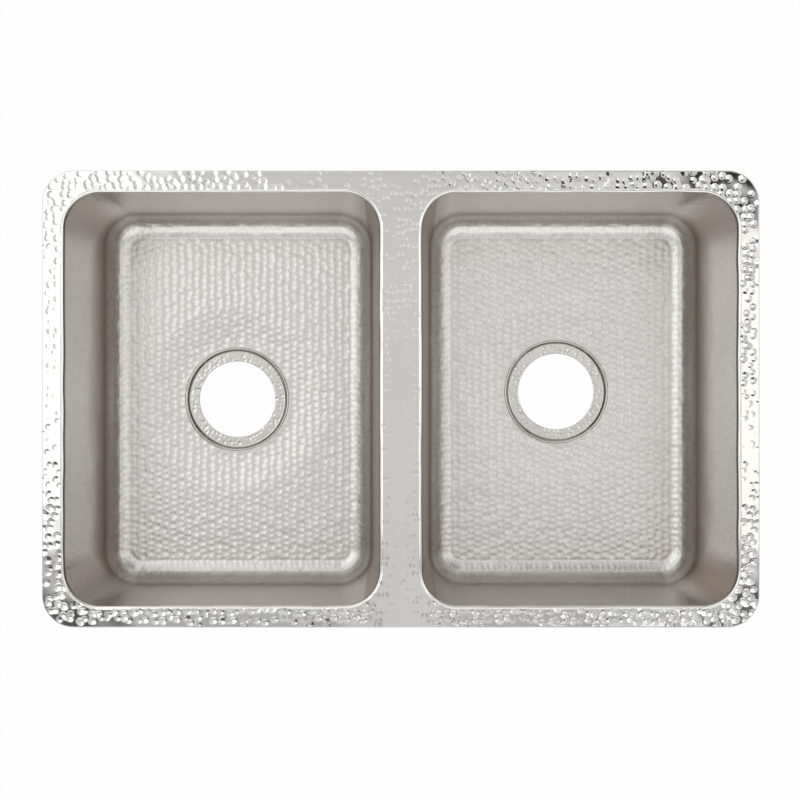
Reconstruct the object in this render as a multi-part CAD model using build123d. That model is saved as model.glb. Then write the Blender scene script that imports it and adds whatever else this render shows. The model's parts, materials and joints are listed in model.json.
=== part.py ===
from build123d import *
import os
from math import radians, tan

# Double bowl kitchen sink, welded from hand-hammered sheet. Sizes in millimetres.
# X runs along the sink's long side, Y to its back and Z up. The origin is the centre of
# the rim's flat underside, which is the plane of the worktop that the rim lies on.

# Sheet and rim
sheet = 1.6                     # thickness of every sheet piece
rim_border = 24.5               # rim from a bowl's mouth to the outer edge
divider_width = 48.0            # strip of rim between the two bowls
rim_corner_r = 36.0             # outer corners of the rim
edge_ease = 0.6                 # broken edge round the rim's outline
lip_bend = 1.0                  # inside of the bend from the rim down into a bowl
lip_drop = 6.0                  # rim's top to the lower edge of that lip

# Bowls
bowl_length = 350.0             # mouth along X
bowl_width = 459.0              # mouth along Y
bowl_corner_r = 40.0            # upright corners
bowl_depth = 203.0              # rim's top down to the level part of the floor
side_draft = 4.0                # degrees, the side walls lean inwards going down
end_draft = 1.0                 # degrees, the front and back walls
foot_r = 28.0                   # round foot between wall and floor, inside
dish_r = 120.0                  # shallow dish in the floor that drains towards the seat
dish_fall = 2.0                 # fall of that dish from its edge to the seat
pan_upstand = 40.0              # edge of the floor pan above its round foot

# Drain seats
waste_r = 47.0                  # waste hole, for a 3 1/2 inch strainer's body
seat_r = 64.0                   # outside of the ring that is let into the floor
seat_land = 1.4                 # level land of the ring, flush with the floor round it
seat_depth = 4.5                # land down to the ledge under the strainer's flange
seat_step = 3.0                 # run of the sloping step between land and ledge
seat_gap = 0.1                  # root gap between ring and pan, closed by the weld
left_drain_shift = (-4.5, 0.0)  # drain from its bowl's centre, set by hand and uneven
right_drain_shift = (-5.5, 9.5)

# Weld beads, all on the outside
seam_width = 5.0                # beads that lie over a butt joint
seam_height = 0.9
seam_toe = 0.4                  # height of their blunt edges
drain_weld_leg = 3.0            # leg of the bead under the floor round a seat

# Sizes that follow from these
rim_length = 2 * rim_border + 2 * bowl_length + divider_width
rim_width = 2 * rim_border + bowl_width
bowl_x = (divider_width + bowl_length) / 2
wall_top = sheet - lip_drop
floor_z = sheet - bowl_depth
pan_top = floor_z + foot_r + pan_upstand
seat_z = floor_z - dish_fall
side_slope = tan(radians(side_draft))
end_slope = tan(radians(end_draft))
far = rim_length + rim_width    # reaches past everything that is cut


def mouth(grow):
    """A bowl's outline at its mouth, grown outwards by grow."""
    return RectangleRounded(bowl_length + 2 * grow, bowl_width + 2 * grow, bowl_corner_r + grow)


def wall_outline(height, grow):
    """Outline of a leaning bowl wall at a height below the lip, grown outwards by grow."""
    down = wall_top - height
    length = bowl_length - 2 * side_slope * down + 2 * grow
    width = bowl_width - 2 * end_slope * down + 2 * grow
    return Pos(0, 0, height) * RectangleRounded(length, width, bowl_corner_r + grow)


def above(height):
    """Everything above a height."""
    return Pos(0, 0, height) * Box(far, far, far, align=(Align.CENTER, Align.CENTER, Align.MIN))


def between_walls(view, width, slope, grow):
    """Space between two opposite leaning walls, seen in a view, without end either way."""
    depth = wall_top - floor_z + grow
    high = width / 2 + grow
    low = high - slope * depth
    section = Polyline((-high, 0), (high, 0), (low, -depth), (-low, -depth), close=True)
    return Pos(0, 0, wall_top) * extrude(view * make_face(section), amount=far, both=True)


def bowl_form(drain, grow):
    """The space in a bowl below the rim's lip, grown outwards by grow on every side."""
    block = between_walls(Plane.XZ, bowl_length, side_slope, grow)
    block &= between_walls(Plane.YZ, bowl_width, end_slope, grow)
    block = fillet(block.edges().filter_by(lambda edge: abs((edge % 0).Z) > 0.5), bowl_corner_r + grow)
    block = fillet(block.faces().sort_by(Axis.Z)[0].edges(), foot_r + grow)
    dish_align = (Align.CENTER, Align.CENTER, Align.MAX)
    return block + Pos(*drain, floor_z - grow) * Cone(seat_r, dish_r, dish_fall, align=dish_align)


def rim_frame():
    """Flat frame of sheet, turned down into each bowl by a short rolled lip."""
    frame = extrude(RectangleRounded(rim_length, rim_width, rim_corner_r), amount=sheet)
    places = [Pos(-bowl_x, 0, wall_top), Pos(bowl_x, 0, wall_top)]
    frame += [place * extrude(mouth(sheet), amount=lip_drop) for place in places]
    frame -= [place * extrude(mouth(0), amount=lip_drop) for place in places]
    top = frame.faces().sort_by(Axis.Z)[-1]
    frame = fillet([edge for wire in top.inner_wires() for edge in wire.edges()], sheet + lip_bend)
    underside = frame.faces().filter_by(Plane.XY).filter_by_position(Axis.Z, -sheet / 2, sheet / 2)[0]
    frame = chamfer([edge for wire in underside.inner_wires() for edge in wire.edges()], lip_bend)
    top = frame.faces().sort_by(Axis.Z)[-1]
    return chamfer(top.outer_wire().edges(), edge_ease)


def bowl_wall(shell):
    """Strip of sheet bent into a closed band, from the rim's lip to the floor pan."""
    return shell & above(pan_top)


def bowl_floor(shell, drain):
    """Floor pan with its round foot and the hole that the drain seat is let into."""
    hole = Pos(*drain, seat_z) * Cylinder(seat_r + seat_gap, 2 * (sheet + dish_fall))
    return shell - above(pan_top) - hole


def drain_seat(drain):
    """Dished ring: a land flush with the floor, a step down and a ledge round the waste hole."""
    step_out = seat_r - seat_land
    step_in = step_out - seat_step
    ledge_z = seat_z - seat_depth
    top = Polyline(
        (seat_r, seat_z),
        (step_out, seat_z),
        (step_in, ledge_z),
        (waste_r, ledge_z),
    )
    section = make_face(Plane.XZ * offset(top, amount=sheet, side=Side.LEFT, kind=Kind.INTERSECTION))
    return Pos(*drain) * revolve(section, axis=Axis.Z)


def seam_section():
    """Crowned section of a flat bead, its root a little inside the sheet's face."""
    root = -seam_height / 2
    half = seam_width / 2
    low, high = (seam_toe, seam_height)
    crown = [(low, -half), (high, -half / 2), (high, half / 2), (low, half)]
    return make_face(Polyline(*crown, (root, half), (root, -half), close=True))


def seam_round(height, outside):
    """Bead round the outside of a bowl, over the butt joint at a height."""
    path = wall_outline(height, sheet).wire()
    start = Plane(origin=path @ 0, x_dir=(path % 0).cross(Vector(0, 0, 1)), z_dir=path % 0)
    return sweep(start * seam_section(), path=path) - outside


def rim_weld(outside):
    """Bead where the rim's lip meets the wall, clear of the worktop under the rim."""
    lip = extrude(outside.faces().sort_by(Axis.Z)[-1], amount=lip_drop)
    return seam_round(wall_top, outside) - lip


def wall_weld(outside):
    """Closing seam of the wall's strip, down its back between the two other beads."""
    high_z = wall_top - seam_width / 2
    low_z = pan_top + seam_width / 2
    back_y = bowl_width / 2 + sheet
    high = Vector(0, back_y - end_slope * (wall_top - high_z), high_z)
    low = Vector(0, back_y - end_slope * (wall_top - low_z), low_z)
    start = Plane(origin=high, x_dir=Vector(1, 0, 0).cross(low - high), z_dir=low - high)
    return extrude(start * seam_section(), amount=(low - high).length) - outside


def drain_weld(drain, pan, seat):
    """Bead under the floor where the drain seat meets the pan."""
    under = seat_z - sheet
    step_out = seat_r - seat_land
    foot_x = step_out - seat_step + sheet / 2
    with BuildPart() as bead:
        with BuildSketch(Plane.XZ):
            with BuildLine():
                Polyline(
                    (step_out, under),
                    (seat_r + drain_weld_leg, under),
                    (foot_x, under - drain_weld_leg),
                    close=True,
                )
            make_face()
        revolve(axis=Axis.Z)
    return Pos(*drain) * bead.part - pan - seat


def bowl_parts(side, x, drain):
    """Every piece of one bowl, built about the bowl's centre and moved into place."""
    outside = bowl_form(drain, sheet)
    shell = outside - bowl_form(drain, 0)
    pan = bowl_floor(shell, drain)
    seat = drain_seat(drain)
    pieces = {
        "bowl_wall": bowl_wall(shell),
        "bowl_floor": pan,
        "drain_seat": seat,
        "rim_weld": rim_weld(outside),
        "floor_weld": seam_round(pan_top, outside),
        "wall_weld": wall_weld(outside),
        "drain_weld": drain_weld(drain, pan, seat),
    }
    return {f"{side}_{name}": Pos(x, 0) * piece for name, piece in pieces.items()}


parts = {"rim_frame": rim_frame()}
parts |= bowl_parts("left", -bowl_x, left_drain_shift)
parts |= bowl_parts("right", bowl_x, right_drain_shift)

os.makedirs("parts", exist_ok=True)
for name, piece in parts.items():
    export_step(piece, f"parts/{name}.step")
    print(f"{name}: {len(piece.solids())} solid, {piece.volume / 1000:.1f} cm3")
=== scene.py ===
# %% [markdown]
# # A hammered double bowl sink
#
# The sink is two deep bowls of hand-hammered sheet metal, let into one flat rim and plated with
# nickel. Its looks are almost all surface: thousands of small hammer marks that catch the light.
# A picture laid over smooth bowls would look painted as soon as the light moved, so here every
# mark is real geometry. First comes the frame: the engineering model that every piece must fit.

# %% Load the frame
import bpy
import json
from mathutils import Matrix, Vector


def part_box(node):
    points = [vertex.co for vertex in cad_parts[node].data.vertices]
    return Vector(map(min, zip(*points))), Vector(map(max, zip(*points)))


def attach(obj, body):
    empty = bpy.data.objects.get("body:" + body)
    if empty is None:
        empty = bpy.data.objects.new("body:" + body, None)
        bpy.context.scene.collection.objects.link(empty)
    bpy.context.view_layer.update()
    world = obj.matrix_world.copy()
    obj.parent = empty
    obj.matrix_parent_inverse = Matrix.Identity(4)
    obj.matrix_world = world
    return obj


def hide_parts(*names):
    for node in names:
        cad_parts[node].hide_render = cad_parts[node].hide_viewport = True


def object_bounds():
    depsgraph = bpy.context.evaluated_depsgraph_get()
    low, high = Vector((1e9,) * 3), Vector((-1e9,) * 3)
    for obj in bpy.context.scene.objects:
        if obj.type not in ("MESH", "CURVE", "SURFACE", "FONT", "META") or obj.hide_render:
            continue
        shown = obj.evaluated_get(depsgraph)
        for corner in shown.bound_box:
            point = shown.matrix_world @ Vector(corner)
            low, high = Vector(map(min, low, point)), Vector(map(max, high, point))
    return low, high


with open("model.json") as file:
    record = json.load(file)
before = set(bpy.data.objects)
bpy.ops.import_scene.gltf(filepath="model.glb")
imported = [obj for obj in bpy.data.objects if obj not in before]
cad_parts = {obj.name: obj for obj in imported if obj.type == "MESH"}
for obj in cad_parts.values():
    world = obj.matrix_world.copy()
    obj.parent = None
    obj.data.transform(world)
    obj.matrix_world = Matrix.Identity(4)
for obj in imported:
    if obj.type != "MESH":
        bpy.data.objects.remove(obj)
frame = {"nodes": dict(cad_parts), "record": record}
cad_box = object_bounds()
print("nodes in the frame:", len(frame["nodes"]))

# %% [markdown]
# Blender works in metres, while a sink is drawn in millimetres. One small factor lets us write
# millimetres and still hand Blender metres. The sizes come out of the frame's boxes wherever a
# box shows them. Only what a box can't show, such as a corner radius, is written as a number.

# %% Sizes of the sink
import json
import bpy
import bmesh
import numpy as np
from mathutils import Vector, kdtree
from mathutils.geometry import delaunay_2d_cdt

mm = 0.001
rim_low, rim_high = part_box("rim_frame")
wall_low, wall_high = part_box("right_bowl_wall")
seat_low, seat_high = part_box("right_drain_seat")

sheet = rim_high.z
wall_top = rim_low.z
joint_z = wall_low.z
bowl_x = (wall_low.x + wall_high.x) / 2
mouth_x = (wall_high.x - wall_low.x) / 2 - sheet
mouth_y = (wall_high.y - wall_low.y) / 2 - sheet
seat_radius = (seat_high.x - seat_low.x) / 2
waste_radius = frame["record"]["mounts"][1]["dims"]["r_mm"] * mm
print(f"bowl mouth {2 * mouth_x / mm:.0f} by {2 * mouth_y / mm:.0f} mm, sheet {sheet / mm:.1f} mm")

# %% Radii and slopes that no box shows
corner_radius = 40 * mm
rim_corner_radius = 36 * mm
lip_bend = sheet + 1 * mm
foot_radius = 28 * mm
slopes = np.tan(np.radians([4.0, 1.0]))  # side walls, then front and back walls
dish_radius = 120 * mm
dish_fall = 2 * mm
floor_z = seat_high.z + dish_fall
print(f"floor lies {(sheet - floor_z) / mm:.0f} mm under the rim's top")

# %% [markdown]
# ## Walking round a rounded rectangle
#
# Rim, mouths, walls and welds all follow a rounded rectangle. A neat way to draw one: walk along
# it and note two things, which corner centre we go about and the way we face. On a straight
# side the centre slides from one corner to the next and the facing stays. In a corner the
# centre stays and the facing turns. Both change steadily, so numpy's `interp` gives them
# anywhere along the walk.

# %% The walk
def walk_round(half, radius, shares):
    """Centre (from -1 to 1 both ways) and facing direction at shares of the way round."""
    side_x, side_y = 2 * (np.array(half) - radius)
    arc = radius * np.pi / 2
    walked = np.cumsum([0, side_y, arc, side_x, arc, side_y, arc, side_x, arc])
    along = (shares % 1.0) * walked[-1]
    centre_x = np.interp(along, walked, [1, 1, 1, -1, -1, -1, -1, 1, 1])
    centre_y = np.interp(along, walked, [-1, 1, 1, 1, 1, -1, -1, -1, -1])
    angle = np.interp(along, walked, np.radians([0, 0, 90, 90, 180, 180, 270, 270, 360]))
    return np.stack([centre_x, centre_y], -1), np.stack([np.cos(angle), np.sin(angle)], -1)


def outline(centre, facing, half, radius):
    """Points on a rounded rectangle for a walk, with its half sizes and its radius."""
    radius = np.asarray(radius)[..., None]
    return centre * (half - radius) + radius * facing


def outline_length(half_x, half_y, radius):
    """The length of the walk once round."""
    return 4 * (half_x + half_y) - (8 - 2 * np.pi) * radius


mouth = np.array([mouth_x, mouth_y])
mouth_length = outline_length(mouth_x, mouth_y, corner_radius)
print(f"each mouth is {mouth_length / mm:.0f} mm round")

# %% How far a place lies outside a rounded rectangle
def outside_by(x, y, half_x, half_y, radius):
    """Distance outside a rounded rectangle, negative inside it."""
    past_x = np.abs(x) - half_x + radius
    past_y = np.abs(y) - half_y + radius
    corner = np.hypot(np.maximum(past_x, 0), np.maximum(past_y, 0))
    return corner + np.minimum(np.maximum(past_x, past_y), 0) - radius


middle_outside = outside_by(0, 0, mouth_x, mouth_y, corner_radius)
print(f"the middle of a bowl lies {-middle_outside / mm:.0f} mm inside its mouth")

# %% [markdown]
# ## Down the side of a bowl
#
# A wall leans in on its way down, the side walls more than the front and back ones. Below the
# lip the outline shrinks steadily, and the same walk goes round every outline. Near the floor
# the wall turns into a round foot: a quarter turn about a centre that keeps its distance from
# both. One number says how far down we are: 0 at the lip, 1 where the foot starts and 2 where
# it meets the floor.

# %% Points on a bowl
def bowl_surface(shares, downs):
    """Points on a bowl's inner face and the normals into the bowl."""
    shares, downs = np.broadcast_arrays(shares, downs)
    centre, facing = walk_round(mouth, corner_radius, shares)
    lean = np.arctan((centre * facing * slopes).sum(-1))
    wall_depth = wall_top - floor_z - foot_radius * (1 - np.sin(lean))
    depth = np.minimum(downs, 1) * wall_depth
    flat = outline(centre, facing, mouth - slopes * depth[..., None], corner_radius)
    turn = -lean - np.clip(downs - 1, 0, 1) * (np.pi / 2 - lean)
    reach = foot_radius * (np.cos(turn) - np.cos(lean))
    height = wall_top - depth + foot_radius * (np.sin(turn) + np.sin(lean))
    points = np.concatenate([flat + reach[..., None] * facing, height[..., None]], -1)
    normals = np.concatenate([-np.cos(turn)[..., None] * facing, -np.sin(turn)[..., None]], -1)
    return points, normals


def down_to(shares, height):
    """How far down (0 to 1) a wall reaches a height."""
    start, end = bowl_surface(shares, 0.0)[0], bowl_surface(shares, 1.0)[0]
    return (start[..., 2] - height) / (start[..., 2] - end[..., 2])


right_side = 0.1   # a share of the way round that lies on the right wall
back_side = 0.35   # and one on the back wall
wall_run = bowl_surface(0.0, 0.0)[0][2] - bowl_surface(0.0, 1.0)[0][2]
foot_run = foot_radius * 1.5
flat_x = bowl_surface(right_side, 2.0)[0][0]
flat_y = bowl_surface(back_side, 2.0)[0][1]
flat_radius = corner_radius - foot_radius
print(f"wall {wall_run / mm:.0f} mm high, level floor {2 * flat_x / mm:.0f} by {2 * flat_y / mm:.0f} mm")

# %% The level floor with its dish
def floor_height(x, y, drain):
    """The floor's height: level, with a shallow dish that falls to the drain seat."""
    from_drain = np.hypot(x - drain[0], y - drain[1])
    near = np.clip((dish_radius - from_drain) / (dish_radius - seat_radius), 0, 1)
    return floor_z - dish_fall * near * near * (3 - 2 * near)


def on_level_floor(places, drain, from_edge, from_seat):
    """Which places lie on the level floor, by margins from its edge and from the drain seat."""
    inside = outside_by(*places.T, flat_x, flat_y, flat_radius) < -from_edge
    clear = np.hypot(*(places - drain).T) > seat_radius + from_seat
    return inside & clear


def seat_centre(side):
    """The middle of the drain seat on one side, seen from above."""
    low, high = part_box(f"{side}_drain_seat")
    return np.array([(low.x + high.x) / 2, (low.y + high.y) / 2])


print("floor falls", dish_fall / mm, "mm to the drain")

# %% [markdown]
# Nothing made with a hammer is dead straight. The lip of each bowl wanders by a fraction of a
# millimetre. A few sine waves with fixed phases give a wander that closes on itself after one
# round, and that is the same each time the script runs. A `tanh` keeps the largest shifts small.

# %% Wandering edges
lip_wander = 0.3 * mm
waves_round = np.arange(3, 34)


def wander(shares, seed, size=lip_wander):
    """How far an edge strays sideways, at shares of the way round."""
    rng = np.random.default_rng(seed)
    phases = rng.uniform(0, 2 * np.pi, waves_round.size)
    weights = rng.normal(0, 1, waves_round.size) / np.sqrt(waves_round)
    total = sum(weight * np.sin(2 * np.pi * turn * shares + phase)
                for weight, turn, phase in zip(weights, waves_round, phases))
    return 1.5 * size * np.tanh(total / 1.8)


print("the lip wanders", np.round(wander(np.arange(4) / 4, 1) / mm, 2), "mm at four places")

# %% [markdown]
# ## A shell, loop by loop
#
# Each piece of sheet is one closed skin: inner face, edge, outer face, edge. The class below
# gathers points and joins them. `strip` joins two loops, even if one has several times as many
# points as the other, so that a fine inner face can end in a coarse outer one. `fill` covers a
# flat area with Blender's own Delaunay triangulation, which copes with holes. Beside its place,
# each point keeps how much of a ridge it is, from 0 in a hammer mark to 1 between the marks.
# The mesh carries that number as an attribute, and a material can read it: the bowls get painted
# shade on their ridges by it. On the rim's lip the number marks a painted highlight and a painted
# shadow line instead.

# %% The shell
class Shell:
    """The points and faces of one closed piece."""

    def __init__(self):
        self.points = []
        self.ridges = []
        self.faces = []
        self.count = 0
        self.fixed_normals = {}

    def add(self, points, ridge=0.0):
        """Adds points of any grid shape and gives back their numbers in that shape."""
        numbers = self.count + np.arange(points[..., 0].size).reshape(points.shape[:-1])
        self.points.append(points.reshape(-1, 3))
        self.ridges.append(np.broadcast_to(ridge, numbers.shape).ravel())
        self.count += numbers.size
        return numbers

    def strip(self, many, few):
        """Joins two closed loops. The first has a whole number of times as many points."""
        ratio = len(many) // len(few)
        if ratio == 1:
            self.faces.append(np.stack([many, np.roll(many, -1), np.roll(few, -1), few], 1))
            return
        steps = np.arange(len(many))
        nearest = ((steps + 0.5) / ratio + 0.5).astype(int) % len(few)
        self.faces.append(np.stack([many, np.roll(many, -1), few[nearest]], 1))
        middle = (np.arange(len(few)) * ratio + (ratio + 1) // 2) % len(many)
        self.faces.append(np.stack([few, many[middle], np.roll(few, -1)], 1))

    def rows(self, grid, ridge=0.0):
        """Adds a grid of loops and joins each to the next."""
        numbers = self.add(grid, ridge)
        for loop, following in zip(numbers, numbers[1:]):
            self.strip(loop, following)
        return numbers

    def fill(self, edge, holes, inside):
        """Triangles over the flat area between loops, through the loose points inside it."""
        loops = [edge, *holes]
        numbers = np.concatenate([*loops, inside])
        flat = np.concatenate(self.points)[numbers, :2]
        owner = np.concatenate([np.full(len(loop), index) for index, loop in enumerate(loops)]
                               + [np.full(len(inside), -1)])
        starts = np.cumsum([0] + [len(loop) for loop in loops])
        rings = [list(range(start, start + len(loop))) for start, loop in zip(starts, loops)]
        borders = [pair for ring in rings for pair in zip(ring, ring[1:] + ring[:1])]
        places = [Vector(place) for place in flat.tolist()]
        triangles = np.array(delaunay_2d_cdt(places, borders, rings[:1], 1, 1e-9)[2])
        owners = owner[triangles]
        one_loop = (owners[:, 0] == owners[:, 1]) & (owners[:, 0] == owners[:, 2])
        in_hole = one_loop & (owners[:, 0] > 0)
        self.faces.append(numbers[triangles[~in_hole]])


sample = Shell()
sample.rows(np.zeros((3, 8, 3)))
print("three loops of 8 points take", sum(len(group) for group in sample.faces), "faces")

# %% Turn a shell into a piece of the sink
def finish_piece(shell, name, material):
    """Makes the mesh, gives it its finish and seats it in the frame in the node's stead."""
    mesh = bpy.data.meshes.new(name)
    faces = [face for group in shell.faces for face in group.tolist()]
    mesh.from_pydata(np.concatenate(shell.points).tolist(), [], faces)
    work = bmesh.new()
    work.from_mesh(mesh)
    bmesh.ops.recalc_face_normals(work, faces=work.faces[:])
    work.to_mesh(mesh)
    work.free()
    mesh.shade_smooth()
    ridge = mesh.attributes.new("ridge", "FLOAT", "POINT")
    ridge.data.foreach_set("value", np.concatenate(shell.ridges))
    if shell.fixed_normals:
        normals = np.zeros((len(mesh.vertices), 3))
        normals[list(shell.fixed_normals)] = list(shell.fixed_normals.values())
        mesh.normals_split_custom_set_from_vertices(normals.tolist())
    mesh.materials.append(material)
    piece = bpy.data.objects.new(name + "_hammered", mesh)
    bpy.context.scene.collection.objects.link(piece)
    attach(piece, "root")
    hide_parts(name)
    print(f"{piece.name}: {len(mesh.vertices)} points, {sum(len(face) - 2 for face in faces)} triangles")


# %% [markdown]
# ## Hammer marks
#
# One blow of a round-faced hammer leaves a shallow cup: its depth falls off with the square of
# the distance from the centre. Where cups overlap, the deepest one wins, and a ridge stays
# between them. So for each point of the surface we find the nearest blows and keep the deepest
# cup. A soft maximum rounds the ridges a little, as polishing does. Blender's KD-tree finds the
# nearest blows quickly.

# %% Depth of the hammered surface
ridge_softness = 0.015 * mm


def nearest_blows(points, blows, count=4):
    """The numbers of the few blows nearest to each point."""
    tree = kdtree.KDTree(len(blows))
    for number, blow in enumerate(blows.tolist()):
        tree.insert(blow, number)
    tree.balance()
    return np.array([[hit[1] for hit in tree.find_n(point, count)] for point in points.tolist()])


def hammer(points, blows, depths, face_radius):
    """How deep each point lies in the marks of a hammer with a face of some radius."""
    near = nearest_blows(points, blows)
    spread = ((points[:, None, :] - blows[near]) ** 2).sum(-1)
    cup = depths[near] - spread / (2 * face_radius)
    levels = np.concatenate([cup, np.zeros((len(points), 1))], 1) / ridge_softness
    highest = levels.max(1, keepdims=True)
    return ridge_softness * (highest[:, 0] + np.log(np.exp(levels - highest).sum(1)))


lone_mark = hammer(np.zeros((1, 3)), np.zeros((1, 3)), np.array([0.3 * mm]), 30 * mm)
print(f"a lone mark struck 0.3 mm deep is {lone_mark[0] / mm:.2f} mm deep at its centre")

# %% [markdown]
# In the bowls the smith worked in rows: down the walls row under row, and over the floor in
# long columns from front to back, each column half a step on from the last. Each blow lands a
# little off its mark.

# %% Where the blows fall in a bowl
blow_pitch = 7.4 * mm
row_pitch = 6.0 * mm
column_pitch = 9.3 * mm
unsteady = 0.09  # how far a blow strays, as a share of the pitch
blow_rows = np.arange(row_pitch, wall_run + foot_run, row_pitch)
floor_margin = 3 * mm


def wall_blows(rng):
    """Rows of blows round the walls and the foot."""
    rows = []
    for run in blow_rows:
        count = int(mouth_length / blow_pitch)
        shares = (np.arange(count) + rng.random() + rng.normal(0, unsteady, count)) / count
        runs = run + rng.normal(0, unsteady * row_pitch, count)
        downs = np.interp(runs, [0, wall_run, wall_run + foot_run], [0, 1, 2])
        rows.append(bowl_surface(shares, downs)[0])
    return np.concatenate(rows)


def floor_blows(rng, drain):
    """Columns of blows over the level floor, clear of the drain seat."""
    columns = []
    for number, x in enumerate(np.arange(-flat_x + column_pitch / 2, flat_x, column_pitch)):
        half_step = number % 2 / 2
        y = np.arange(-flat_y, flat_y, blow_pitch) + (half_step + 0.2 * rng.random()) * blow_pitch
        columns.append(np.stack([x + rng.normal(0, unsteady * column_pitch, y.size),
                                 y + rng.normal(0, unsteady * blow_pitch, y.size)], -1))
    places = np.concatenate(columns)
    x, y = places[on_level_floor(places, drain, floor_margin, floor_margin)].T
    return np.stack([x, y, floor_height(x, y, drain)], -1)


print("rows down a bowl:", len(blow_rows))

# %% [markdown]
# ## Finishes
#
# Two effects serve more than one metal, so each is a node group with its own sockets: a slow
# drift of tone, from polishing by hand, and fine scratches that run mostly one way. A group
# gives out only values that change over the surface. The shader stays in each material. A few
# short helpers make and link the nodes, and each takes sockets and plain numbers alike.

# %% Node helpers
def add_node(tree, kind, sockets=None, **settings):
    """Adds a node, sets its options, and sets or links its input sockets."""
    made = tree.nodes.new(kind)
    for name, value in settings.items():
        setattr(made, name, value)
    for socket, value in (sockets or {}).items():
        if isinstance(value, bpy.types.NodeSocket):
            tree.links.new(value, made.inputs[socket])
        else:
            made.inputs[socket].default_value = value
    return made


def new_group(name, inputs, outputs):
    """A node group with float inputs, given with their defaults, and float outputs."""
    group = bpy.data.node_groups.new(name, "ShaderNodeTree")
    for label, default in inputs.items():
        socket = group.interface.new_socket(name=label, in_out="INPUT", socket_type="NodeSocketFloat")
        socket.default_value = default
    for label in outputs:
        group.interface.new_socket(name=label, in_out="OUTPUT", socket_type="NodeSocketFloat")
    return group, group.nodes.new("NodeGroupInput"), group.nodes.new("NodeGroupOutput")


def math_node(tree, operation, *values, clamp=False):
    """The output of a Math node."""
    sockets = dict(enumerate(values))
    return add_node(tree, "ShaderNodeMath", sockets, operation=operation, use_clamp=clamp).outputs[0]


def remap(tree, value, start, end, low, high, interpolation="LINEAR"):
    """A value carried from one range to another, and held at the ends."""
    sockets = {"Value": value, "From Min": start, "From Max": end, "To Min": low, "To Max": high}
    return add_node(tree, "ShaderNodeMapRange", sockets, interpolation_type=interpolation).outputs[0]


def fade_in(tree, value, start, end, most=1.0):
    """A share that grows smoothly from 0 at the start to its most at the end."""
    return remap(tree, value, start, end, 0.0, most, "SMOOTHSTEP")


def mix_colors(tree, share, first, second):
    """A colour between two others. Inputs 6 and 7 of a Mix node are its colours, output 2 theirs."""
    return add_node(tree, "ShaderNodeMix", {"Factor": share, 6: first, 7: second},
                    data_type="RGBA").outputs[2]


print("node helpers are ready")

# %% Tone drift
drift_group, drift_in, drift_out = new_group("tone_drift", {"Scale": 12.0, "Contrast": 1.0}, ["Drift"])
place = add_node(drift_group, "ShaderNodeTexCoord")
clouds = add_node(drift_group, "ShaderNodeTexNoise",
                  {"Vector": place.outputs["Object"], "Scale": drift_in.outputs["Scale"],
                   "Detail": 4.0, "Roughness": 0.55, "Distortion": 0.4})
centred = math_node(drift_group, "SUBTRACT", clouds.outputs["Fac"], 0.5)
stretched = math_node(drift_group, "MULTIPLY_ADD", centred, drift_in.outputs["Contrast"], 0.5, clamp=True)
drift_group.links.new(stretched, drift_out.inputs["Drift"])
print("group", drift_group.name, "gives", [socket.name for socket in drift_out.inputs if socket.name])

# %% Fine scratches
scratch_way = np.radians(24)
scratch_group, scratch_in, scratch_out = new_group("fine_scratches", {"Scale": 300.0, "Stretch": 0.08},
                                                   ["Height"])
place = add_node(scratch_group, "ShaderNodeTexCoord")
squeeze = add_node(scratch_group, "ShaderNodeCombineXYZ",
                   {"X": 1.0, "Y": scratch_in.outputs["Stretch"], "Z": 1.0})
turned = add_node(scratch_group, "ShaderNodeMapping",
                  {"Vector": place.outputs["Object"], "Rotation": (0.0, 0.0, scratch_way),
                   "Scale": squeeze.outputs[0]})
lines = add_node(scratch_group, "ShaderNodeTexNoise",
                 {"Vector": turned.outputs[0], "Scale": scratch_in.outputs["Scale"],
                  "Detail": 3.0, "Roughness": 0.6})
scratch_group.links.new(lines.outputs["Fac"], scratch_out.inputs["Height"])
print("group", scratch_group.name, "gives", [socket.name for socket in scratch_out.inputs if socket.name])

# %% [markdown]
# The walls get brown painted shade: low on the side walls, in the upright corners, next to the
# divider, over the front walls and a little on the back ones. It is worked out from the place in
# the sink. A `MapRange` node turns each distance into a share, the largest share wins, and a soft
# noise breaks the edges. The painted shade fades out in the foot, so the floor stays clean. The
# floor is also buffed a little brighter than the walls.

# %% The painted brown shade
# Brown painted shade: its colour, how much of it, and where it ends above the floor.
painted_shade_color = (0.34, 0.265, 0.22, 1)
painted_shade_strength = 0.58
painted_shade_end = -192 * mm
floor_buffed_to = -200 * mm


def object_place(tree):
    """The sockets x, y and z of the place on the sink, and all three as one vector."""
    vector = add_node(tree, "ShaderNodeTexCoord").outputs["Object"]
    return (*add_node(tree, "ShaderNodeSeparateXYZ", {0: vector}).outputs, vector)


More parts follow.
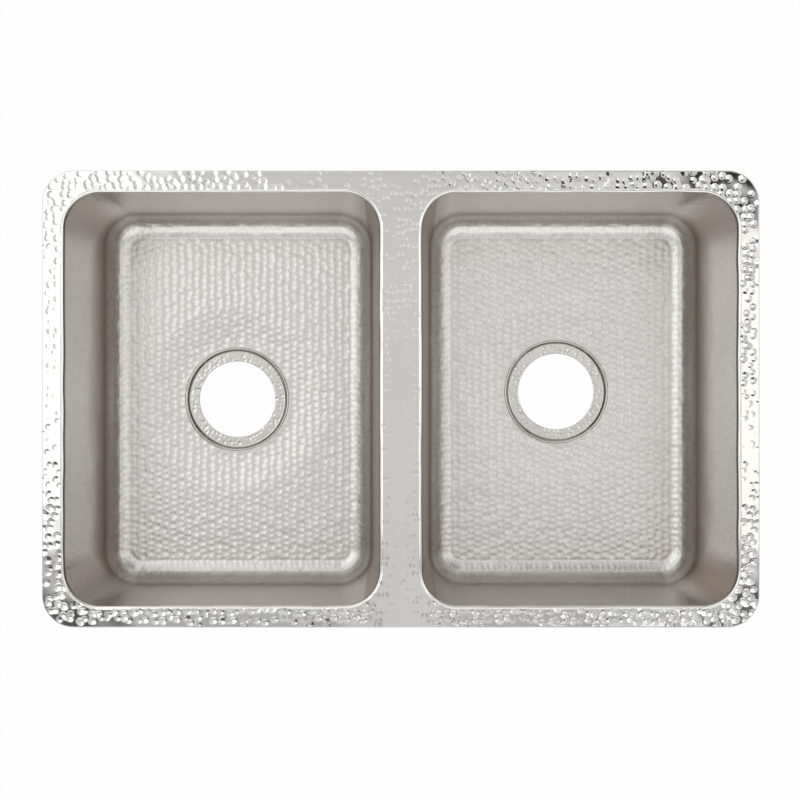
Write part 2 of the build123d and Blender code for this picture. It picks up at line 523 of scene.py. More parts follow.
def paint_brown_shade(tree, color):
    """Darkens a colour with brown painted shade low on the walls, in the corners and by the divider."""
    x, y, z, place = object_place(tree)
    clouds = add_node(tree, "ShaderNodeTexNoise", {"Vector": place, "Scale": 22.0, "Detail": 3.0})
    shift = math_node(tree, "MULTIPLY_ADD", clouds.outputs["Fac"], 0.05, -0.025)
    across = math_node(tree, "ABSOLUTE", x)
    from_middle = math_node(tree, "ABSOLUTE", math_node(tree, "SUBTRACT", across, bowl_x))
    side = fade_in(tree, from_middle, mouth_x - 45 * mm, mouth_x - 15 * mm)
    low = fade_in(tree, math_node(tree, "ADD", z, shift), -85 * mm, -160 * mm, 1.25)
    near_end = fade_in(tree, math_node(tree, "ABSOLUTE", y), mouth_y - 60 * mm, mouth_y - 25 * mm)
    corner = math_node(tree, "MULTIPLY", side, near_end)
    front_right = fade_in(tree, math_node(tree, "SUBTRACT", x, y), 100 * mm, 500 * mm, 0.6)
    shares = [
        math_node(tree, "MULTIPLY", side, low),
        math_node(tree, "MULTIPLY", corner, math_node(tree, "ADD", front_right, 1.05)),
        fade_in(tree, math_node(tree, "ADD", y, shift), 60 * mm - mouth_y, -mouth_y, 0.75),
        fade_in(tree, y, mouth_y - 30 * mm, mouth_y - 8 * mm, 0.36),
        fade_in(tree, across, 46 * mm, 38 * mm, 1.9),
    ]
    most = shares[0]
    for share in shares[1:]:
        most = math_node(tree, "MAXIMUM", most, share)
    above_floor = fade_in(tree, z, painted_shade_end, painted_shade_end + 20 * mm, painted_shade_strength)
    return mix_colors(tree, math_node(tree, "MULTIPLY", most, above_floor), color, painted_shade_color)


def dull_walls(tree, roughness):
    """Makes everything above the floor a little duller."""
    z = object_place(tree)[2]
    duller = fade_in(tree, z, floor_buffed_to, floor_buffed_to + 12 * mm, 0.14)
    return math_node(tree, "ADD", roughness, duller)


# How far above the floor the brown painted shade ends.
print(f"the stain ends {(painted_shade_end - floor_z) / mm:.0f} mm above the floor")

# %% [markdown]
# A plated metal takes its colour from the reflection tint, so Base Color is the nickel's own
# warm grey and Metallic is 1. What tells a mirror from a satin face is Roughness. The rim is
# buffed to a mirror, while the bowls are brushed and stay softer. A metal may also have painted
# tones, which take over one after another as the `ridge` number climbs. The bowls have one, a
# painted shade that greys the ridges between the marks. The rim has two, for its rolled lip: a
# painted highlight line, and under it a thin brown line of painted shadow.

# %% Nickel
tone_contrast = 2.2
scratch_depth = 0.05 * mm


def nickel(name, light, dark, smooth, rough, grain, drift_scale, grain_scale,
           ridge=(), ridge_rough=0.0, painted_shade_and_dulling=False):
    """Nickel plate between two tones and two roughnesses, with fine scratches, rougher ridges and painted
    tones by ridge.
    """
    material = bpy.data.materials.new(name)
    material.use_nodes = True
    tree = material.node_tree
    metal = tree.nodes["Principled BSDF"]
    metal.inputs["Metallic"].default_value = 1.0
    drift = add_node(tree, "ShaderNodeGroup", {"Scale": drift_scale, "Contrast": tone_contrast},
                     node_tree=drift_group)
    on_ridge = add_node(tree, "ShaderNodeAttribute", attribute_name="ridge").outputs["Fac"]
    color = mix_colors(tree, drift.outputs["Drift"], (*dark, 1), (*light, 1))
    # Painted tones by the ridge number: painted shade on the bowls' ridges, painted highlight and shadow
    # on the rim's lip.
    for number, painted_tone in enumerate(ridge):
        share = fade_in(tree, on_ridge, number / len(ridge), (number + 1) / len(ridge))
        color = mix_colors(tree, share, color, (*painted_tone, 1))
    scratches = add_node(tree, "ShaderNodeGroup", {"Scale": grain_scale}, node_tree=scratch_group)
    sheen = remap(tree, scratches.outputs["Height"], 0.3, 0.7, smooth, rough)
    roughness = math_node(tree, "ADD", sheen, fade_in(tree, on_ridge, 0.55, 1.0, ridge_rough))
    if painted_shade_and_dulling:
        # Brown painted shade low on the walls, in the corners and by the divider; duller roughness above
        # the floor.
        color = paint_brown_shade(tree, color)
        roughness = dull_walls(tree, roughness)
    relief = add_node(tree, "ShaderNodeBump", {"Height": scratches.outputs["Height"],
                                               "Strength": grain, "Distance": scratch_depth})
    tree.links.new(color, metal.inputs["Base Color"])
    tree.links.new(roughness, metal.inputs["Roughness"])
    tree.links.new(relief.outputs[0], metal.inputs["Normal"])
    print("finish", name, "roughness", smooth, "to", rough)
    return material


# Its two ridge colours are the lip's painted highlight line and its brown painted shadow line.
polished_nickel = nickel("polished_nickel", light=(0.82, 0.81, 0.78), dark=(0.77, 0.76, 0.725),
                         smooth=0.02, rough=0.07, grain=0.05, drift_scale=9, grain_scale=420,
                         ridge=[(0.98, 0.96, 0.92), (0.16, 0.13, 0.11)], ridge_rough=0.3)
# Its ridge colour is painted shade that greys the ridges between the hammer marks.
satin_nickel = nickel("satin_nickel", light=(0.88, 0.86, 0.83), dark=(0.83, 0.81, 0.78),
                      smooth=0.26, rough=0.285, grain=0.02, drift_scale=11, grain_scale=600,
                      ridge=[(0.71, 0.685, 0.655)], painted_shade_and_dulling=True)
seat_nickel = nickel("seat_nickel", light=(0.77, 0.75, 0.715), dark=(0.71, 0.68, 0.64),
                     smooth=0.08, rough=0.18, grain=0.15, drift_scale=20, grain_scale=500)
weld_metal = nickel("weld_metal", light=(0.62, 0.59, 0.55), dark=(0.46, 0.43, 0.39),
                    smooth=0.28, rough=0.5, grain=0.6, drift_scale=60, grain_scale=900)

# %% [markdown]
# ## The bowls
#
# Wall and floor pan are two sheets that meet in a weld, ground flush inside. So that no edge
# shows there, one hammered surface is worked out for the whole bowl and then shared: the wall
# takes the rows above the joint and the pan takes the rows below. The row on the joint gets the
# same normals in both pieces, which hides the seam from the light.

# %% One hammered bowl surface
columns = 840            # points round each row
wall_rows = 86           # rows from the lip to the joint
upstand_rows = 27        # rows from the joint to the foot
foot_rows = 28           # rows down the round foot
outer_wall_rows = 33     # rows down the outside to the joint
bowl_face = 30 * mm      # radius of the hammer's face
mean_depth = 0.34 * mm   # depth of a mark
depth_spread = 0.06 * mm
wall_ridge = 0.4         # how much the ridges show on the walls
floor_ridge = 0.55       # and on the foot and the floor
shares = np.arange(columns) / columns


def ridge_of(marks):
    """How much of a ridge a place is, from 0 in a mark to 1 between marks, by its depth."""
    return np.clip((0.9 * mean_depth - marks) / (0.55 * mean_depth), 0, 1)


def hammered_bowl(downs, blows, depths, seed, thickness=0.0):
    """A bowl's inner or outer face with its hammer marks: a grid of points and their ridges."""
    base, normals = bowl_surface(shares[None, :], downs)
    below_lip = wall_top - base[..., 2]
    marks = hammer(base.reshape(-1, 3), blows, depths, bowl_face).reshape(base.shape[:-1])
    marks = marks * np.clip(below_lip / (5 * mm), 0, 1)
    near_lip = np.clip(1 - below_lip / (40 * mm), 0, 1) ** 2
    shift = thickness + marks + wander(shares, seed) * near_lip
    shown = np.where(downs > 1, floor_ridge, wall_ridge)
    return base - shift[..., None] * normals, ridge_of(marks) * shown


print("rows in a bowl:", wall_rows + upstand_rows + foot_rows)

# %% The level part of a floor pan
seat_columns = 400        # points round a drain seat and its hole
seat_gap = 0.1 * mm       # between the seat and the hole in the pan
floor_spacing = 1.3 * mm
underside_spacing = 6 * mm


def scattered(rng, half_x, half_y, spacing):
    """A grid of places, each nudged a little so that no pattern shows."""
    x, y = np.meshgrid(np.arange(-half_x, half_x, spacing), np.arange(-half_y, half_y, spacing))
    places = np.stack([x.ravel(), y.ravel()], -1)
    return places + rng.uniform(-0.18, 0.18, places.shape) * spacing


def ring(radius, count, centre, z):
    """Points on a level circle."""
    angle = np.arange(count) / count * 2 * np.pi
    return np.stack([centre[0] + radius * np.cos(angle), centre[1] + radius * np.sin(angle),
                     np.full(count, z)], -1)


def level_skin(pan, rng, drain, shift, edge, spacing, thickness=0.0, struck=None):
    """Covers the level floor between the foot and the drain hole. Gives back the hole's loop."""
    places = scattered(rng, flat_x, flat_y, spacing)
    x, y = places[on_level_floor(places, drain, 0.6 * spacing, 0.7 * spacing)].T
    points = np.stack([x, y, floor_height(x, y, drain) - thickness], -1)
    ridge = 0.0
    if struck:
        marks = hammer(points, *struck, bowl_face)
        points[:, 2] -= marks
        ridge = floor_ridge * ridge_of(marks)
    hole = pan.add(ring(seat_radius + seat_gap, seat_columns, drain, seat_high.z - thickness) + shift)
    pan.fill(edge, [hole], pan.add(points + shift, ridge))
    return hole


print(f"points {floor_spacing / mm} mm apart above and {underside_spacing / mm} mm underneath")

# %% The wall and the floor pan of one bowl
def row_normals(grid, row):
    """Normals into the bowl along one row of a grid of points."""
    around = np.roll(grid[row], -1, 0) - np.roll(grid[row], 1, 0)
    normals = np.cross(around, grid[row + 1] - grid[row - 1])
    normals /= np.linalg.norm(normals, axis=1)[:, None]
    return normals * -np.sign(normals[0, 0])


def bowl_faces(side, middle_x, seed, rng):
    """The inner face with its ridges, the outer face, the blows and the drain of one bowl."""
    drain = seat_centre(side) - [middle_x, 0]
    blows = np.concatenate([wall_blows(rng), floor_blows(rng, drain)])
    depths = rng.normal(mean_depth, depth_spread, len(blows))
    joint_down = down_to(shares, joint_z)
    wall_downs = np.linspace(0, 1, wall_rows)[:, None] * joint_down
    outer_downs = np.linspace(0, 1, outer_wall_rows)[:, None] * joint_down
    upstand_downs = joint_down + np.linspace(0, 1, upstand_rows)[:, None] * (1 - joint_down)
    foot_downs = np.ones_like(joint_down) + np.linspace(0, 1, foot_rows)[1:, None]
    pan_downs = np.concatenate([upstand_downs, foot_downs])[1:]
    inner, ridges = hammered_bowl(np.concatenate([wall_downs, pan_downs]), blows, depths, seed)
    outer, _ = hammered_bowl(np.concatenate([outer_downs, pan_downs[::2]]), blows, depths, seed, sheet)
    return inner, ridges, outer, (blows, depths), drain


def bowl_pieces(side, middle_x, seed):
    """Builds the wall and the floor pan of the bowl on one side."""
    rng = np.random.default_rng(seed)
    shift = np.array([middle_x, 0, 0])
    inner, ridges, outer, struck, drain = bowl_faces(side, middle_x, seed, rng)
    inner, outer = inner + shift, outer + shift
    joint = wall_rows - 1
    joint_normals = row_normals(inner, joint).tolist()

    wall = Shell()
    inside = wall.rows(inner[:wall_rows], ridges[:wall_rows])
    outside = wall.rows(outer[:outer_wall_rows][::-1])
    wall.strip(inside[-1], outside[0])
    wall.strip(outside[-1], inside[0])
    wall.fixed_normals = dict(zip(inside[-1].tolist(), joint_normals))
    finish_piece(wall, f"{side}_bowl_wall", satin_nickel)

    pan = Shell()
    inside = pan.rows(inner[joint:], ridges[joint:])
    outside = pan.rows(outer[outer_wall_rows - 1:])
    pan.strip(inside[0], outside[0])
    pan.fixed_normals = dict(zip(inside[0].tolist(), joint_normals))
    upper_hole = level_skin(pan, rng, drain, shift, inside[-1], floor_spacing, struck=struck)
    lower_hole = level_skin(pan, rng, drain, shift, outside[-1], underside_spacing, thickness=sheet)
    pan.strip(upper_hole, lower_hole)
    finish_piece(pan, f"{side}_bowl_floor", satin_nickel)


bowls = {"left": -bowl_x, "right": bowl_x}
for seed, (side, middle_x) in enumerate(bowls.items(), start=21):
    bowl_pieces(side, middle_x, seed)

# %% [markdown]
# ## The drain seats
#
# A drain seat is a turned ring: a narrow level land, a step down and a ledge for the strainer.
# We draw half its section as a bent line and swing it round. `bend` rounds each corner of the
# line with an arc, as a press tool would.

# %% A line with rounded bends
def bend(corners, radii, step=0.35 * mm):
    """Points along a closed line whose corners are rounded by arcs."""
    corners = np.array(corners, float)
    befores, afters = np.roll(corners, 1, 0), np.roll(corners, -1, 0)
    line = []
    for before, corner, after, radius in zip(befores, corners, afters, radii):
        into = (corner - before) / np.linalg.norm(corner - before)
        out = (after - corner) / np.linalg.norm(after - corner)
        turn = np.arctan2(into[0] * out[1] - into[1] * out[0], into @ out)
        back = radius * abs(np.tan(turn / 2))
        side = np.sign(turn) * np.array([-into[1], into[0]])
        centre = corner - back * into + radius * side
        pieces = max(2, int(np.ceil(radius * abs(turn) / step)))
        for angle in np.linspace(0, turn, pieces + 1):
            rotation = np.array([[np.cos(angle), -np.sin(angle)], [np.sin(angle), np.cos(angle)]])
            line.append(centre - radius * rotation @ side)
    return np.array(line)


def divide(line, step):
    """Adds points along the long runs of a closed line."""
    result = []
    for start, end in zip(line, np.roll(line, -1, 0)):
        pieces = max(1, int(np.ceil(np.linalg.norm(end - start) / step)))
        result += [start + (end - start) * share for share in np.arange(pieces) / pieces]
    return np.array(result)


square = np.array([(0, 0), (4, 0), (4, 4), (0, 4)]) * mm
print("a square with rounded corners has", len(bend(square, [1 * mm] * 4)), "points")

# %% The section of a seat
seat_land = 1.4 * mm
seat_step = 3.0 * mm
ledge_top = seat_low.z + sheet
step_out = seat_radius - seat_land
step_in = step_out - seat_step
run_down = np.array([-seat_step, ledge_top - seat_high.z])
slant = run_down / np.linalg.norm(run_down)


def under_corner(z):
    """Where the underside of the sloping step meets a level."""
    start = np.array([step_out, seat_high.z]) - sheet * np.array([slant[1], -slant[0]])
    return start[0] + slant[0] * (z - start[1]) / slant[1]


section = [
    (seat_radius, seat_high.z),
    (step_out, seat_high.z),
    (step_in, ledge_top),
    (waste_radius, ledge_top),
    (waste_radius, seat_low.z),
    (under_corner(seat_low.z), seat_low.z),
    (under_corner(seat_high.z - sheet), seat_high.z - sheet),
    (seat_radius, seat_high.z - sheet),
]
bends = np.array([0.3, 0.5, 1.6, 0.5, 0.4, 1.0, 0.1, 0.1]) * mm
seat_line = divide(bend(section, bends), 1.1 * mm)
print("points in a seat's section:", len(seat_line))

# %% Both seats, with fine marks on the ledge
seat_face = 13 * mm
first_ring = waste_radius + 2.2 * mm
ring_pitch = 4.6 * mm
ledge_blow_pitch = 5.2 * mm
ledge_scatter = 0.9 * mm
ledge_kept = 0.8


def ledge_blows(rng, centre):
    """Rings of loosely placed blows on the ledge, with some left out."""
    marks = []
    for radius in np.arange(first_ring, step_in, ring_pitch):
        count = int(2 * np.pi * radius / ledge_blow_pitch)
        places = ring(radius, count, centre, ledge_top)
        places[:, :2] += rng.normal(0, ledge_scatter, (count, 2))
        marks.append(places[rng.random(count) < ledge_kept])
    return np.concatenate(marks)


def drain_seat(side, seed):
    """Turns one seat and strikes its ledge."""
    rng = np.random.default_rng(seed)
    centre = seat_centre(side)
    loops = np.array([ring(radius, seat_columns, centre, z) for radius, z in seat_line])
    blows = ledge_blows(rng, centre)
    depths = rng.uniform(0.04, 0.26, len(blows)) * mm
    flat = loops.reshape(-1, 3)
    from_centre = np.hypot(flat[:, 0] - centre[0], flat[:, 1] - centre[1])
    on_ledge = (np.abs(flat[:, 2] - ledge_top) < 0.3 * mm) & (from_centre < step_in + 1 * mm)
    fade = np.clip((step_in - from_centre) / (2 * mm), 0, 1)
    flat[:, 2] -= np.where(on_ledge, hammer(flat, blows, depths, seat_face) * fade, 0)
    seat = Shell()
    numbers = seat.rows(flat.reshape(loops.shape))
    seat.strip(numbers[-1], numbers[0])
    finish_piece(seat, f"{side}_drain_seat", seat_nickel)


for seed, side in enumerate(bowls, start=41):
    drain_seat(side, seed)

# %% [markdown]
# ## The rim
#
# The rim is the showpiece: a flat frame, buffed to a mirror round small separate hammer marks.
# The smith held the hammer a little askew, so each mark is like a thumbnail's: it runs in
# gently on one side and ends in a steep edge on the other. That edge shows as a crescent. A
# mark here is a tilted cup, cut off by a round border that falls in over a millimetre or so.
# The divider and a stretch of three of the sides were struck lightly, so they stay calmer.

# %% How the rim was struck
rim_x = rim_high.x
rim_y = rim_high.y


def on_rim(places, margin):
    """Which places lie on the rim, at least a margin inside its edges."""
    inside = outside_by(*places.T, rim_x, rim_y, rim_corner_radius) < -margin
    for middle_x in bowls.values():
        inside &= outside_by(places[:, 0] - middle_x, places[:, 1], mouth_x + lip_bend, mouth_y + lip_bend,
                             corner_radius + lip_bend) > margin
    return inside


def rim_strength(x, y):
    """How hard the rim was struck, from 0 to 1."""
    on_left = np.clip((-x - 0.78 * rim_x) / (0.1 * rim_x), 0, 1)
    left_side = on_left * np.clip(1 - np.abs(y) / rim_y, 0, 1)
    back_middle = np.clip(1.5 - np.abs(x + 0.14 * rim_x) / (0.27 * rim_x), 0, 1) * (y > 0.5 * rim_y)
    on_divider = np.clip(1 - np.abs(x) / (40 * mm), 0, 1) ** 0.5
    divider = on_divider * np.clip((0.62 * rim_y - y) / (0.25 * rim_y), 0, 1)
    on_right = np.clip((x - 0.85 * rim_x) / (0.1 * rim_x), 0, 1)
    right_side = on_right * np.clip(1.6 - np.abs(y / rim_y + 0.2) * 4, 0, 1)
    return np.clip(1 - 0.75 * left_side - 0.6 * back_middle - 0.9 * divider - 0.65 * right_side, 0.08, 1)


def rim_askew(x, y):
    """The way that the hammer leaned: the side of each mark that is steep."""
    front = np.clip((-0.25 * rim_y - y) / (0.2 * rim_y), 0, 1)
    return np.radians(-115 + 25 * x / rim_x - 130 * front * (x < 0) + 200 * front * (x >= 0))


print("strength in the middle of the divider:", np.round(rim_strength(0.0, 0.0), 2))

# %% Where the blows fall on the rim
rim_blow_pitch = 8.3 * mm


def at_height(places, z):
    """Places seen from above, as points on one level."""
    return np.concatenate([places, np.full((len(places), 1), z)], 1)


rng = np.random.default_rng(7)
places = scattered(rng, rim_x, rim_y, rim_blow_pitch)
places += rng.normal(0, 0.17, places.shape) * rim_blow_pitch
places = places[on_rim(places, 1.0 * mm)]
strength = rim_strength(*places.T)

# In the back right corner the marks are smaller and fewer, and on the back strip before it they
# are wider. In both places the hammer stood upright.
in_corner = np.clip((places.sum(1) - 0.62 * (rim_x + rim_y)) / (0.25 * rim_x), 0, 1)
kept = rng.random(len(places)) < 0.45 + 0.55 * strength - 0.15 * in_corner
places, strength, in_corner = places[kept], strength[kept], in_corner[kept]
upright = np.clip(2 - np.abs(places[:, 0] / rim_x - 0.62) / 0.14, 0, 1) * (places[:, 1] > 0.8 * rim_y)
rim_blows = at_height(places, sheet)
mark_depth = strength * rng.uniform(0.14, 0.40, len(places)) * mm
mark_radius = (rng.normal(3.9, 0.35, len(places)) + 0.6 * upright - 0.6 * in_corner) * mm
askew = rim_askew(*places.T) + rng.normal(0, 0.45, len(places))
mark_tilt = (0.9 - 0.6 * np.maximum(in_corner, upright)) * mark_depth / mark_radius
mark_way = np.stack([np.cos(askew), np.sin(askew), np.zeros(len(places))], -1)
print("blows on the rim:", len(rim_blows))

# %% Depth of the marks on the rim
mark_edge = 1.3 * mm     # how far a mark's border runs
mark_hollow = 50 * mm    # radius of the cup in it
wave_height = 0.05 * mm
wave_room = 0.1 * mm     # lowers the sheet, so that no wave stands above the frame


def thumb_marks(points):
    """How deep each point lies in the marks on the rim."""
    near = nearest_blows(points, rim_blows)
    gap = points[:, None, :] - rim_blows[near]
    away = np.linalg.norm(gap, axis=2)
    tilted = mark_tilt[near] * (gap * mark_way[near]).sum(-1)
    cup = mark_depth[near] + tilted - away ** 2 / (2 * mark_hollow)
    border = np.clip((mark_radius[near] - away) / mark_edge + 0.5, 0, 1)
    marks = np.maximum(cup, 0) * border * border * (3 - 2 * border)
    return (marks ** 3).sum(1) ** (1 / 3)


def waviness(x, y):
    """A slow waviness of the buffed sheet."""
    bent_waves = np.sin(x / (9 * mm) + 1.3 * np.sin(y / (13 * mm)))
    slanted_waves = np.sin(y / (8 * mm) + x / (21 * mm))
    return wave_height * (bent_waves + slanted_waves)


def strike(points, fade):
    """Lowers points of the rim's top by the marks and the waviness."""
    flat = points.reshape(-1, 3)
    drop = thumb_marks(flat) + wave_room + waviness(flat[:, 0], flat[:, 1])
    points[..., 2] -= (drop * fade).reshape(points.shape[:-1])


print("a lone mark is", np.round(thumb_marks(rim_blows[:3]) / mm, 2), "mm deep at its centre")

# %% The rim's loops
edge = 0.6 * mm          # broken edge round the outside
lip_ease = 0.3 * mm      # eased end of the lip
edge_inset = 0.25 * mm   # keeps the wandering edge inside the frame
edge_wander = 0.1 * mm
edge_columns = 2200
mouth_columns = 1500
mouth_shares = np.arange(mouth_columns) / mouth_columns


def rim_loops(half, radius, section, count, seed, middle_x, size):
    """Loops of a section carried round an outline; offsets count outwards."""
    shares = np.arange(count) / count
    centre, facing = walk_round(half, radius, shares)
    line = outline(centre, facing, half, radius)
    sideways = wander(shares, seed, size)
    return np.array([at_height(line + (offset + sideways)[:, None] * facing + [middle_x, 0], z)
                     for offset, z in section])


edge_section = [(-edge, sheet), (-0.35 * edge, sheet - 0.1 * mm), (-0.1 * edge, sheet - 0.3 * mm),
                (0, sheet - edge), (0, 0.1 * mm), (-0.15 * mm, 0)]
inner_bend = lip_bend - sheet
roll = np.linspace(0, np.pi / 2, 9)
mouth_section = [(lip_bend + 0.45 * mm, sheet), (lip_bend + 0.15 * mm, sheet - 0.13 * mm)]
mouth_section += [(lip_bend - lip_bend * np.sin(turn), sheet - lip_bend + lip_bend * np.cos(turn))
                  for turn in roll]
mouth_section += [(0, wall_top + lip_ease), (0.2 * mm, wall_top), (sheet - 0.2 * mm, wall_top),
                  (sheet, wall_top + lip_ease)]
mouth_section += [(lip_bend - inner_bend * np.sin(turn), inner_bend * (np.cos(turn) - 1))
                  for turn in roll[::-2]]

rim_half = np.array([rim_x, rim_y]) - edge_inset
rim_edge = rim_loops(rim_half, rim_corner_radius, edge_section, edge_columns, 5, 0, edge_wander)
mouths = [rim_loops(mouth, corner_radius, mouth_section, mouth_columns, seed, middle_x, lip_wander)
          for seed, middle_x in enumerate(bowls.values(), start=21)]
print("loops at the rim's edge:", len(rim_edge), "and at each mouth:", len(mouths[0]))

# %% Strike the rim and close it
mouth_fades = (1.0, 0.7, 0.5, 0.3, 0.15)
edge_fades = (1.0, 1.0, 0.6)
painted_highlight_loops = 6  # loops from the rim's top down to where the brown line begins


def places_on_rim(spacing, margin):
    """Scattered places on the rim, a margin inside its edges."""
    places = scattered(rng, rim_x, rim_y, spacing)
    return places[on_rim(places, margin)]


for loops, fades in [(loops, mouth_fades) for loops in mouths] + [(rim_edge, edge_fades)]:
    for loop, fade in zip(loops, fades):
        strike(loop, fade)

# The lip's painted light, carried by its ridge number: a painted highlight on the upper loops and a brown
# painted shadow line below it, darkest on the left and right sides.
painted_shadow_share = np.array([0] * painted_highlight_loops + [0.7] + [1] * (len(mouth_section) - painted_highlight_loops - 1))
lip_facing = walk_round(mouth, corner_radius, mouth_shares)[1]
lip_painted_light = 0.5 + 0.5 * np.outer(painted_shadow_share, np.abs(lip_facing[:, 0]))
rim = Shell()
edge_numbers = rim.rows(rim_edge)
mouth_numbers = [rim.rows(loops, lip_painted_light) for loops in mouths]
top = at_height(places_on_rim(1.0 * mm, 1.4 * mm), sheet)
strike(top, 1.0)
rim.fill(edge_numbers[0], [numbers[0] for numbers in mouth_numbers], rim.add(top))
underside = at_height(places_on_rim(8 * mm, 3 * mm), 0.0)
rim.fill(edge_numbers[-1], [numbers[-1] for numbers in mouth_numbers], rim.add(underside))
finish_piece(rim, "rim_frame", polished_nickel)

# %% [markdown]
# ## Weld beads
#
# The beads all lie on the outside. A hand-laid bead is a row of overlapping puddles, like fish
# scales. Each ripple has a curved front, so its height depends on the way along and on the
# distance from the bead's middle line. The bead is closed by a root that lies in the sheet.

# %% A bead with ripples
ripple_pitch = 2.1 * mm
bead_half = 2.45 * mm
bead_height = 0.8 * mm
bead_sunk = 0.05 * mm    # how far the bead's toes lie under the sheet's face
root_depth = 0.4 * mm
bead_columns = 2400


def bead_profile(along, across):
    """Height of a bead, by the way along it and the place across it (-1 to 1)."""
    crown = np.sqrt(np.clip(1 - across ** 2, 0, 1))
    ripple = (along / ripple_pitch + 0.45 * across ** 2) % 1.0
    return bead_height * crown * (0.78 + 0.22 * ripple ** 0.6)


def bead_round(side, node, z, middle_x):
    """A bead round the outside of a bowl."""
    shares = np.arange(bead_columns) / bead_columns
    crown = [(across, bead_profile(shares * mouth_length, across) - bead_sunk)
             for across in np.linspace(-1, 1, 9)]
    root = [(across, np.full(bead_columns, -root_depth)) for across in (1, -1)]
    loops = []
    for across, rise in crown + root:
        points, normals = bowl_surface(shares, down_to(shares, z + across * bead_half))
        loops.append(points - (sheet + rise)[:, None] * normals)
    bead = Shell()
    numbers = bead.rows(np.array(loops) + [middle_x, 0, 0])
    bead.strip(numbers[-1], numbers[0])
    finish_piece(bead, f"{side}_{node}", weld_metal)


for side, middle_x in bowls.items():
    bead_round(side, "rim_weld", wall_top, middle_x)
    bead_round(side, "floor_weld", joint_z, middle_x)

# %% [markdown]
# The closing seam of each wall and the bead under each drain seat are short and out of sight.
# The frame's own shape is good enough there, so those nodes stay and only get the weld's metal.

# %% Beads that keep the frame's own shape
for side in bowls:
    for node in ("wall_weld", "drain_weld"):
        kept = frame["nodes"][f"{side}_{node}"]
        kept.data.materials.clear()
        kept.data.materials.append(weld_metal)
        print(side, node, "keeps its shape")

# %% [markdown]
# ## The studio
#
# A mirror shows its surroundings, so the surroundings are half of this picture. The world below
# is a plain pale studio: a soft grey ceiling with cards hung in it, some white and some dark,
# which the marks in the rim pick up as small lights and shadows. Lower down, a dark band on
# either side darkens the walls of the bowls, and still lower the far walls of the room are pale
# again, so that the rim also reads as silver from the side. The sky is laid out by direction,
# with `u` and `v` as the slopes to the right and to the back. The level is plain, so that a
# colour comes out about as written.

# %% A card in the studio sky
card_labels = ["U", "V", "Middle U", "Middle V", "Half U", "Half V", "Soft"]
card_group, card_in, card_out = new_group("studio_card", dict.fromkeys(card_labels, 0.0), ["Mask"])
sides = []
for way in ("U", "V"):
    from_middle = math_node(card_group, "SUBTRACT", card_in.outputs[way], card_in.outputs[f"Middle {way}"])
    distance = math_node(card_group, "ABSOLUTE", from_middle)
    to_edge = math_node(card_group, "SUBTRACT", card_in.outputs[f"Half {way}"], distance)
    softened = math_node(card_group, "DIVIDE", to_edge, card_in.outputs["Soft"])
    sides.append(math_node(card_group, "ADD", softened, 0.5, clamp=True))
card_group.links.new(math_node(card_group, "MULTIPLY", *sides), card_out.inputs["Mask"])
print("group", card_group.name, "gives", [socket.name for socket in card_out.inputs if socket.name])

# %% The ceiling and its cards
world = bpy.data.worlds.new("studio")
bpy.context.scene.world = world
world.use_nodes = True
sky = world.node_tree
direction = add_node(sky, "ShaderNodeTexCoord").outputs["Generated"]
to_right, to_back, up = add_node(sky, "ShaderNodeSeparateXYZ", {0: direction}).outputs
steep = math_node(sky, "MAXIMUM", up, 0.02)
slope_u = math_node(sky, "DIVIDE", to_right, steep)
slope_v = math_node(sky, "DIVIDE", to_back, steep)

cards = [
    # middle u, middle v, half u, half v, softness, level
    (0.00, 0.00, 0.035, 0.36, 0.03, 0.72),
    (-0.03, 0.25, 0.12, 0.14, 0.05, 0.69),
    (0.45, 0.75, 0.38, 0.40, 0.20, 0.28),
    (0.00, -1.80, 1.20, 1.40, 0.25, 1.05),
    (-0.36, 0.13, 0.19, 0.22, 0.03, 1.35),
    (0.32, 0.00, 0.13, 0.105, 0.03, 1.25),
    (0.13, 0.16, 0.035, 0.09, 0.03, 0.80),
    (0.14, 0.36, 0.12, 0.14, 0.15, 0.60),
    (0.25, 0.18, 0.075, 0.06, 0.02, 0.03),
    (0.28, -0.17, 0.08, 0.05, 0.03, 0.12),
    (0.175, -0.15, 0.025, 0.035, 0.02, 1.15),
    (-0.28, -0.19, 0.09, 0.06, 0.03, 0.10),
]
level = remap(sky, slope_v, -0.15, 0.08, 0.50, 0.92)
for *measures, brightness in cards:
    sockets = dict(zip(card_labels, (slope_u, slope_v, *measures)))
    card = add_node(sky, "ShaderNodeGroup", sockets, node_tree=card_group)
    level = add_node(sky, "ShaderNodeMix", {0: card.outputs["Mask"], 2: level, 3: brightness}).outputs[0]
print("cards in the studio:", len(cards))

# %% The low sky, and white for the camera
across = math_node(sky, "MULTIPLY", to_right, to_right)
level_reach = math_node(sky, "MULTIPLY_ADD", to_back, to_back, across)
sideways = math_node(sky, "DIVIDE", across, level_reach)
band_ahead = remap(sky, to_back, -0.5, 0.5, 1.0, 0.5)
band_beside = remap(sky, to_back, -0.55, -0.1, 0.40, 0.05)
band = remap(sky, sideways, 0.05, 0.60, band_ahead, band_beside, "SMOOTHSTEP")
band_share = remap(sky, up, 0.50, 0.66, band, 1.0, "SMOOTHSTEP")
level = math_node(sky, "MULTIPLY", level, band_share)
far_walls = remap(sky, up, 0.0, 0.45, 0.80, 0.50)
level = remap(sky, up, 0.44, 0.53, far_walls, level, "SMOOTHSTEP")

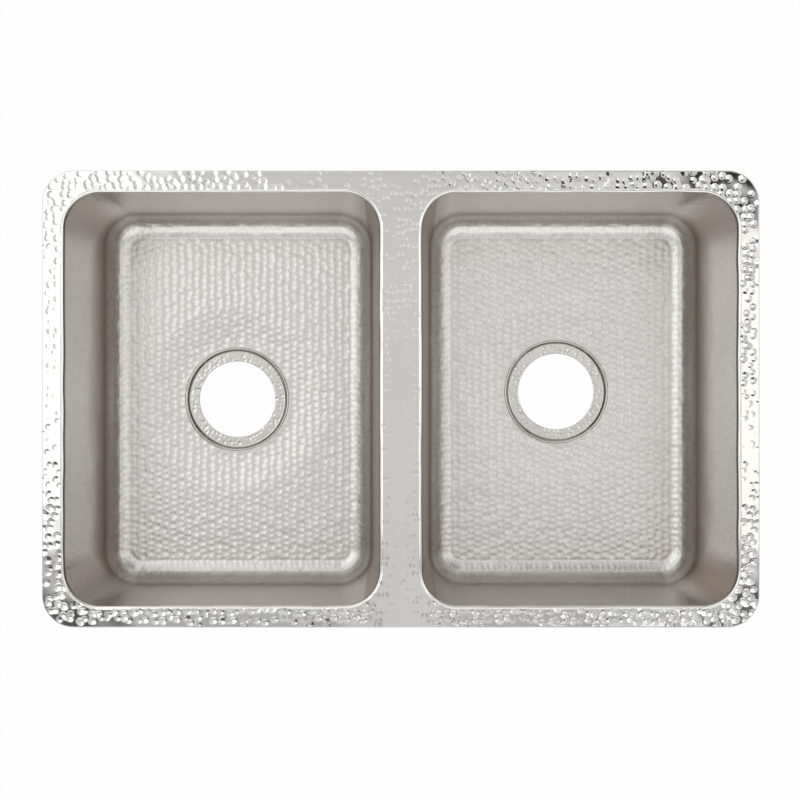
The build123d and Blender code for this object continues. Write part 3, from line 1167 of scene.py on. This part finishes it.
ray = add_node(sky, "ShaderNodeLightPath")
studio_light = add_node(sky, "ShaderNodeBackground", {"Color": (1, 1, 1, 1), "Strength": level})
plain_white = add_node(sky, "ShaderNodeBackground", {"Color": (1, 1, 1, 1), "Strength": 1.0})
chosen = add_node(sky, "ShaderNodeMixShader", {0: ray.outputs["Is Camera Ray"], 1: studio_light.outputs[0],
                                               2: plain_white.outputs[0]})
sky.links.new(chosen.outputs[0], sky.nodes["World Output"].inputs["Surface"])
print("nodes in the sky:", len(sky.nodes))

# %% [markdown]
# The floor is a large white sheet under the sink. To the camera it is nearly its own white, with
# a share of real shading left in, so that the sink's soft shadow stays. Mirrors see more of that
# shading, so the bowls keep a clear lower edge against the white.

# %% The floor
ground_z = cad_box[0][2]
ground_half = 3
in_mirrors = 0.6
own_white = 0.97

corners = [(x * ground_half, y * ground_half, ground_z) for x, y in ((-1, -1), (1, -1), (1, 1), (-1, 1))]
ground_mesh = bpy.data.meshes.new("floor_sheet")
ground_mesh.from_pydata(corners, [], [(0, 1, 2, 3)])
ground = bpy.data.objects.new("floor_sheet", ground_mesh)
bpy.context.scene.collection.objects.link(ground)

paper = bpy.data.materials.new("white_paper")
paper.use_nodes = True
tree = paper.node_tree
shaded = tree.nodes["Principled BSDF"]
shaded.inputs["Base Color"].default_value = (0.9, 0.9, 0.9, 1)
shaded.inputs["Roughness"].default_value = 0.9
glow = add_node(tree, "ShaderNodeEmission", {"Color": (1, 1, 1, 1), "Strength": 1.0})
ray = add_node(tree, "ShaderNodeLightPath")
seen = math_node(tree, "MULTIPLY", ray.outputs["Is Glossy Ray"], in_mirrors)
seen = math_node(tree, "MAXIMUM", ray.outputs["Is Camera Ray"], seen)
seen = math_node(tree, "MAXIMUM", seen, ray.outputs["Is Transmission Ray"])
share = math_node(tree, "MULTIPLY", seen, own_white)
paper_mix = add_node(tree, "ShaderNodeMixShader", {0: share, 1: shaded.outputs[0], 2: glow.outputs[0]})
tree.links.new(paper_mix.outputs[0], tree.nodes["Material Output"].inputs["Surface"])
ground_mesh.materials.append(paper)
print(f"the floor lies {(sheet - ground_z) / mm:.0f} mm under the rim's top")

# %% [markdown]
# ## The camera
#
# The photograph was taken from straight above, about 1.7 metres over the rim.

# %% The camera
camera_height = 1700 * mm
picture_width = 889 * mm
sensor_width = 36
camera_data = bpy.data.cameras.new("camera")
camera_data.sensor_width = sensor_width
camera_data.lens = sensor_width * camera_height / picture_width
camera = bpy.data.objects.new("camera", camera_data)
camera.location = (-0.9 * mm, -1.0 * mm, camera_height)
bpy.context.scene.collection.objects.link(camera)
bpy.context.scene.camera = camera
bpy.context.scene.view_settings.view_transform = "Standard"
print(f"lens {camera_data.lens:.1f} mm")
